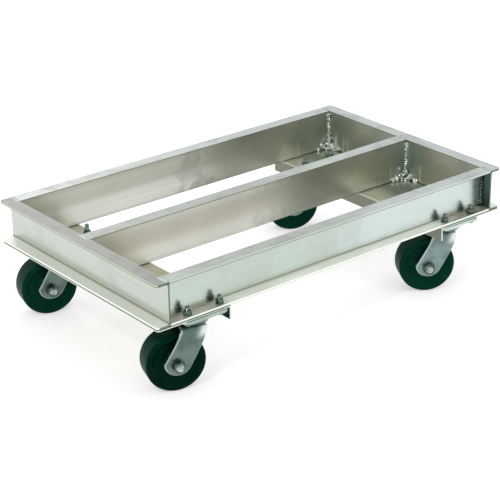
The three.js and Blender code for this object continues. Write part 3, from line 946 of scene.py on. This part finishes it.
for corner in corners:
    for i in (1, 2, 3, 4):
        node_name = f"{corner}_mounting_bolt_{i}"
        low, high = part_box(node_name)
        middle = (low + high) / 2
        seated = abs(middle.y) > side_web
        nut_low = (rail_foot + rail_flange if seated else angle_top) + seat_gap
        bolt = threaded(bolt_radius, low.z + bolt_head / 2, high.z, nut_low - 3 * mm)
        merged_into(bolt, hexagon(bolt_flats, low.z, low.z + bolt_head, 0.8 * mm))
        merged_into(bolt, hexagon(bolt_flats, nut_low, nut_low + nut_hex, 1.0 * mm))
        collar = [(0, nut_low + nut_hex / 2), (nut_collar, nut_low + nut_hex / 2),
                  (nut_collar, nut_low + nut_height), (0, nut_low + nut_height)]
        merged_into(bolt, turned(curved(collar, 2.2 * mm, 6), 32))
        turn = Matrix.Rotation(draw.uniform(0, math.pi / 3), 4, "Z")
        at = Matrix.Translation((middle.x, middle.y, 0)) @ turn
        piece(f"{corner}_bolt_and_nut_{i}", stood(bolt, at), bolt_zinc, "deck",
              [node_name])


# Forks
# Each fork is one zinc-plated strip pressed over the wheel. Its legs slant back to round feet,
# and its front edge is rolled in toward the crown, into a smooth shoulder under the race.

fork_wall = 4 * mm
fork_half = 30.4 * mm
fork_bend = 6 * mm
foot_radius = 23.7 * mm
foot_rise = 6.6 * mm
foot_front, foot_rear = math.radians(-34), math.radians(-174)
fork_front_reach = 17 * mm
fork_front_knee = 16.2 * mm
fork_rear_reach = 28.5 * mm
roll_radius = 3.5 * mm
roll_lip = 0.5 * mm
roll_band_share = 0.45
roll_from, roll_until = 24 * mm, 8 * mm
shoulder_spread = 7 * mm
edge_highlight = 0.6
crown_shade = 0.6
crown_fade = 17 * mm
flat_columns, roll_columns = 10, 7
foot_rows, leg_rows, bend_rows, crown_rows = 12, 18, 7, 6
foot_open_share = 0.06
leg_bow_drop = 16 * mm
rear_bow, front_bow = 6.5 * mm, 4 * mm


def bowed(start, control, end, s):
    return start.lerp(control, s).lerp(control.lerp(end, s), s)


def fork(trail, axle_level, crown_top, half_width):
    """The pressed strip, drawn with the kingpin's axis on Z and the axle behind it at -X."""
    centre = Vector((-trail, axle_level + foot_rise))
    down = -math.pi / 2
    on_foot = lambda a: centre + foot_radius * Vector((math.cos(a), math.sin(a)))
    middle = half_width - fork_wall / 2
    bend_level = crown_top - fork_wall / 2 - fork_bend
    rear_foot, front_foot = on_foot(foot_rear), on_foot(foot_front)
    rear_top = Vector((-fork_rear_reach, bend_level))
    front_top = Vector((fork_front_knee, bend_level))
    rear_control = Vector((-fork_rear_reach - rear_bow, bend_level - leg_bow_drop))
    front_control = Vector((fork_front_knee - front_bow, bend_level - leg_bow_drop))
    rows = []
    for i in range(foot_rows):
        s = foot_open_share + (1 - foot_open_share) * i / (foot_rows - 1)
        rows.append((on_foot(down + (foot_rear - down) * s),
                     on_foot(down + (foot_front - down) * s), 0))
    for i in range(1, leg_rows + 1):
        rows.append((bowed(rear_foot, rear_control, rear_top, i / leg_rows),
                     bowed(front_foot, front_control, front_top, i / leg_rows), 0))
    for i in range(1, bend_rows + 1):
        front = front_top + Vector(((fork_front_reach - fork_front_knee) * i / bend_rows, 0))
        rows.append((rear_top, front, i / bend_rows * math.pi / 2))
    columns = flat_columns + roll_columns
    count = len(rows) + crown_rows
    shape = bmesh.new()
    bmesh.ops.create_grid(shape, x_segments=columns, y_segments=count - 1, size=0.5)
    pressed = shape.verts.layers.float.new("pressed")
    crowned = shape.verts.layers.float.new("crowned")
    for vert in shape.verts:
        column = round((vert.co.x + 0.5) * columns)
        row = round((vert.co.y + 0.5) * (count - 1))
        rear, front, lean = rows[min(row, len(rows) - 1)]
        inward = max(0, row - len(rows) + 1) / crown_rows
        width = (front - rear).length
        along = (front - rear) / width
        rise = (max(front.y, rear.y) - crown_top + roll_from) / (roll_from - roll_until)
        rise = min(1, max(0, rise))
        roll = rise * rise * (3 - 2 * rise) * math.pi / 2
        rolled = min(roll_radius * math.pi / 2 + roll_lip, roll_band_share * width)
        straight = max(0, rolled - roll_radius * roll)
        reach = roll_radius * math.sin(roll) + straight * math.cos(roll)
        flat = width - reach - fork_wall / 2 * math.sin(roll)
        depth = 0
        if column <= flat_columns:
            out = flat * column / flat_columns
        else:
            run = rolled * (column - flat_columns) / roll_columns
            turn = min(run / roll_radius, roll)
            past = run - roll_radius * turn
            out = flat + roll_radius * math.sin(turn) + past * math.cos(turn)
            depth = roll_radius * (1 - math.cos(turn)) + past * math.sin(turn)
        at = rear + along * out
        y = middle - fork_bend + fork_bend * math.cos(lean)
        z = at.y + fork_bend * math.sin(lean)
        normal = Vector((0, math.cos(lean), math.sin(lean)))
        vert.co = Vector((at.x, y * (1 - inward), z)) - normal * depth
        # Painted highlight on the rolled shoulder and along the side edges; painted shade near the
        # crown.
        shoulder = math.exp(-(((out - flat) / shoulder_spread) ** 2)) * math.sin(roll)
        vert[pressed] = max(shoulder, edge_highlight if column in (0, columns) else 0)
        vert[crowned] = crown_shade * min(1, max(0, 1 - (bend_level + fork_bend - z) / crown_fade))
    bmesh.ops.mirror(shape, geom=shape.verts[:] + shape.edges[:] + shape.faces[:], axis="Y",
                     merge_dist=0.01 * mm)
    bmesh.ops.remove_doubles(shape, verts=shape.verts, dist=0.02 * mm)
    bmesh.ops.recalc_face_normals(shape, faces=shape.faces)
    return shape


axles = {}
for corner in corners:
    roll = joints[f"{corner}_wheel_roll"]
    across = Vector(roll["axis"]).normalized()
    heading = across.cross(Vector((0, 0, 1)))
    pin = kingpins[corner]
    swivel = upright_at[corner] @ Matrix((heading, across, (0, 0, 1))).transposed().to_4x4()
    hub = Vector(roll["pos_m"])
    axles[corner] = (swivel, hub)
    crown_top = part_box(f"{corner}_fork")[1].z - saucer_rise
    trail = (Vector((pin.x, pin.y, hub.z)) - hub).length
    pressed = fork(trail, hub.z, crown_top, fork_half)
    made = piece(f"{corner}_pressed_fork", stood(pressed, swivel), fork_zinc[corner],
                 f"{corner}_swivel", [f"{corner}_fork"])
    wall = made.modifiers.new("wall", "SOLIDIFY")
    wall.thickness = fork_wall
    wall.offset = 0
    softened(made, 0.6 * mm, 2, 50)


# Wheels
# Solid moulded wheels in a glossy, very dark green. The face is dished between a smooth rim and
# the hub, and the tread is a little dusty and scuffed.

wheel_green = (0.0003, 0.016, 0.0088, 1)
wheel_dusty = (0.0009, 0.026, 0.0155, 1)
wheel_lit_green = (0.0022, 0.038, 0.024, 1)
wheel_lit_dusty = (0.0035, 0.050, 0.032, 1)
wheel_sheen = (0.25, 1.0, 0.68, 1)
tread_green = (0.0008, 0.026, 0.016, 1)
tread_scuffed = (0.006, 0.06, 0.04, 1)
wheel_reflection = 0.045
wheel_edge = 5 * mm
rim_depth = 8.5 * mm
rim_slope = 5 * mm
wheel_dish = 4 * mm
hub_radius = 19 * mm
hub_slope = 1.5 * mm
hub_bore = 9.85 * mm
wheel_half = 21 * mm
tread_from, tread_until = 2.6 * mm, 0.1 * mm  # inside the wheel's radius
hub_half = 25.7 * mm


def wheel_plastic():
    """Dark green plastic. Painted light makes every wheel but the front left one a little
    lighter.
    """
    made, tree, shader, place = material("wheel_plastic", 0.0, 0.16)
    shader.inputs["Specular IOR Level"].default_value = wheel_reflection
    shader.inputs["Specular Tint"].default_value = wheel_sheen
    own = node("Attribute", {"attribute_name": "own_place"}, tree).outputs["Vector"]
    radius = from_axis(own)
    tread = ranged(radius, wheel_radius - tread_from, wheel_radius - tread_until)
    dust = use(handling_smudges, vector=place, size=55.0, spread=0.2)
    x, y, _ = node("SeparateXYZ", vector=place).outputs
    # Painted light on every wheel but the front left one.
    lit = most(ranged(x, *middle_stretch), ranged(y, *middle_stretch))
    colour = mixed(dust["Mask"], mixed(lit, wheel_green, wheel_lit_green),
                   mixed(lit, wheel_dusty, wheel_lit_dusty))
    colour = mixed(tread, colour, tread_green)
    rub_place = node("Mapping", vector=own, scale=(0.15, 0.15, 1)).outputs[0]
    brightened = times(ranged(mottle(rub_place, 420.0), 0.42, 0.66), tread, 0.5)
    colour = mixed(brightened, colour, tread_scuffed)
    level = node("SeparateXYZ", vector=own).outputs["Z"]
    colour = mixed(times(band(level, 0.0, 0.7 * mm), tread, 0.5), colour, wheel_green)
    colour = mixed(times(dust["Specks"], tread, 0.4), colour, tread_scuffed)
    fed(shader, base_color=colour,
        roughness=plus(times(tread, 0.26), 0.09, times(dust["Mask"], 0.03)))
    bumped(shader, arithmetic("SINE", times(radius, 2600.0), 0.0), 0.012 * mm, 0.3)
    return made


def own_place(shape):
    """Keeps each vertex's place on the piece, drawn about Z, for patterns that follow it."""
    layer = shape.verts.layers.float_vector.new("own_place")
    for vert in shape.verts:
        vert[layer] = vert.co
    return shape


wheel_radius = axles["front_left"][1].z
rim_inside = wheel_radius - wheel_edge - rim_depth
wheel_look = wheel_plastic()
web_level = wheel_half - wheel_dish
tread_edge = [(wheel_radius - wheel_edge + wheel_edge * math.cos(math.radians(a)),
               wheel_half - wheel_edge + wheel_edge * math.sin(math.radians(a)))
              for a in range(0, 91, 10)]
face = curved(
    [tread_edge[-1], (rim_inside + rim_slope, wheel_half), (rim_inside, web_level),
     (hub_radius + hub_slope, web_level), (hub_radius, hub_half), (hub_bore, hub_half)], 4 * mm, 7)
half_profile = tread_edge + face[1:]
wheel_profile = [(r, -z) for r, z in reversed(half_profile)] + half_profile
lay = Matrix.Rotation(-math.pi / 2, 4, "X")

for corner in corners:
    swivel, hub = axles[corner]
    level = Matrix.Translation(hub) @ swivel.to_3x3().to_4x4() @ lay
    moulded = own_place(turned(wheel_profile + wheel_profile[:1], 128))
    piece(f"{corner}_moulded_wheel", stood(moulded, level), wheel_look, f"{corner}_wheel",
          [f"{corner}_wheel"])


# Axles
# A half-inch hex bolt passes through both feet and the bushing on which the wheel turns. Its
# chamfered nut is on the front side, with the bolt's end standing out of it.

axle_radius = 6.35 * mm
axle_flats = 19 * mm
axle_nut_height = 9.2 * mm
axle_end = 3.4 * mm
axle_head = 7.6 * mm
bushing_radius = 9.5 * mm
bushing_half = 26.1 * mm
bushing_bore = 6.65 * mm
# The axle's zinc is painted lighter than the nut's, as a painted highlight on the bolt's end.
axle_tones = (0.46, 0.53, 0.49, 1), (0.17, 0.22, 0.20, 1)
axle_zinc = plated_steel("axle_zinc", axle_tones, 0.16, 150.0)

for corner in corners:
    swivel, hub = axles[corner]
    level = Matrix.Translation(hub) @ swivel.to_3x3().to_4x4() @ lay
    seat = fork_half + seat_gap
    nut_out = seat + axle_nut_height
    shank = threaded(axle_radius, -(seat + axle_head / 2), nut_out + axle_end, seat - 2 * mm)
    merged_into(shank, hexagon(axle_flats, -(seat + axle_head), -seat, 1.2 * mm))
    stood(shank, Matrix.Rotation(math.pi, 4, "X"))
    piece(f"{corner}_hex_axle", stood(shank, level), axle_zinc, f"{corner}_swivel",
          [f"{corner}_axle_bolt"])
    nut = hexagon(axle_flats, -nut_out, -seat, 1.3 * mm)
    turn = Matrix.Rotation(draw.uniform(0, math.pi / 3), 4, "Z")
    piece(f"{corner}_hex_axle_nut", stood(stood(nut, turn), level), bolt_zinc, f"{corner}_swivel",
          [f"{corner}_axle_nut"])
    bushing = ring(bushing_bore, bushing_radius, -bushing_half, bushing_half, 48)
    piece(f"{corner}_steel_bushing", stood(bushing, level), oiled_steel, f"{corner}_swivel",
          [f"{corner}_axle_bushing"], 0.4 * mm)


# Floor, light and camera
# A plain pale floor under soft studio light. The camera stands where the photograph was taken:
# to the left and in front of the deck, looking down at about 24 degrees.

floor_half = 12.0
floor_tone = (0.80, 0.80, 0.80, 1)
floor_lift = 0.5
camera_place = Vector((-1695.15, -2094.62, 1288.58)) * mm
camera_azimuth = 0.6767
camera_elevation = 0.4189
camera_roll = -0.0145
camera_focal_px = 1652.5
picture_width_px = 500
sensor_width = 36

floor_shape = bmesh.new()
bmesh.ops.create_grid(floor_shape, x_segments=1, y_segments=1, size=floor_half)
floor_data = bpy.data.meshes.new("floor")
floor_shape.to_mesh(floor_data)
floor_shape.free()
floor = placed("floor", floor_data)
floor_look, tree, shader, _ = material("floor_paper", 0.0, 0.9)
shader.inputs["Base Color"].default_value = floor_tone
shader.inputs["Emission Color"].default_value = (1, 1, 1, 1)


def seen(tree):
    """1 for the rays by which the camera sees a surface, straight or mirrored."""
    ray = node("LightPath", tree=tree).outputs
    return most(ray["Is Camera Ray"], ray["Is Glossy Ray"], ray["Is Transmission Ray"])


fed(shader, emission_strength=times(seen(tree), floor_lift))
floor_data.materials.append(floor_look)

world = bpy.data.worlds.new("studio")
bpy.context.scene.world = world
world.use_nodes = True
tree = world.node_tree
soft_light = node("Background", tree=tree, color=(1, 1, 1, 1), strength=0.7).outputs[0]
backdrop = node("Background", tree=tree, color=(1, 1, 1, 1), strength=1.0).outputs[0]
both = node("MixShader", i0=seen(tree), i1=soft_light, i2=backdrop).outputs[0]
tree.links.new(both, tree.nodes["World Output"].inputs["Surface"])


def softbox(name, place, size, energy):
    light = bpy.data.lights.new(name, "AREA")
    light.shape = "RECTANGLE"
    light.size, light.size_y = size
    light.energy = energy
    lamp = placed(name, light)
    lamp.location = place
    lamp.rotation_euler = (-Vector(place)).to_track_quat("-Z", "Y").to_euler()


softbox("key_light", (-2.2, -1.2, 2.4), (0.22, 0.22), 14)
softbox("fill_light", (1.6, -2.2, 1.6), (0.5, 0.35), 5)
softbox("back_light", (0.8, 2.4, 2.2), (0.7, 0.3), 6)

lens = bpy.data.cameras.new("photo_camera")
camera = placed("photo_camera", lens)
lens.sensor_width = sensor_width
lens.lens = camera_focal_px / picture_width_px * sensor_width
lens.clip_start, lens.clip_end = 0.05, 60
forward = Vector((math.sin(camera_azimuth) * math.cos(camera_elevation),
                  math.cos(camera_azimuth) * math.cos(camera_elevation),
                  -math.sin(camera_elevation)))
level_right = forward.cross(Vector((0, 0, 1))).normalized()
level_up = level_right.cross(forward)
right = math.cos(camera_roll) * level_right + math.sin(camera_roll) * level_up
up = math.cos(camera_roll) * level_up - math.sin(camera_roll) * level_right
turned_to = Matrix((right, up, -forward)).transposed().to_4x4()
camera.matrix_world = Matrix.Translation(camera_place) @ turned_to
bpy.context.scene.camera = camera
bpy.context.scene.view_settings.view_transform = "Standard"
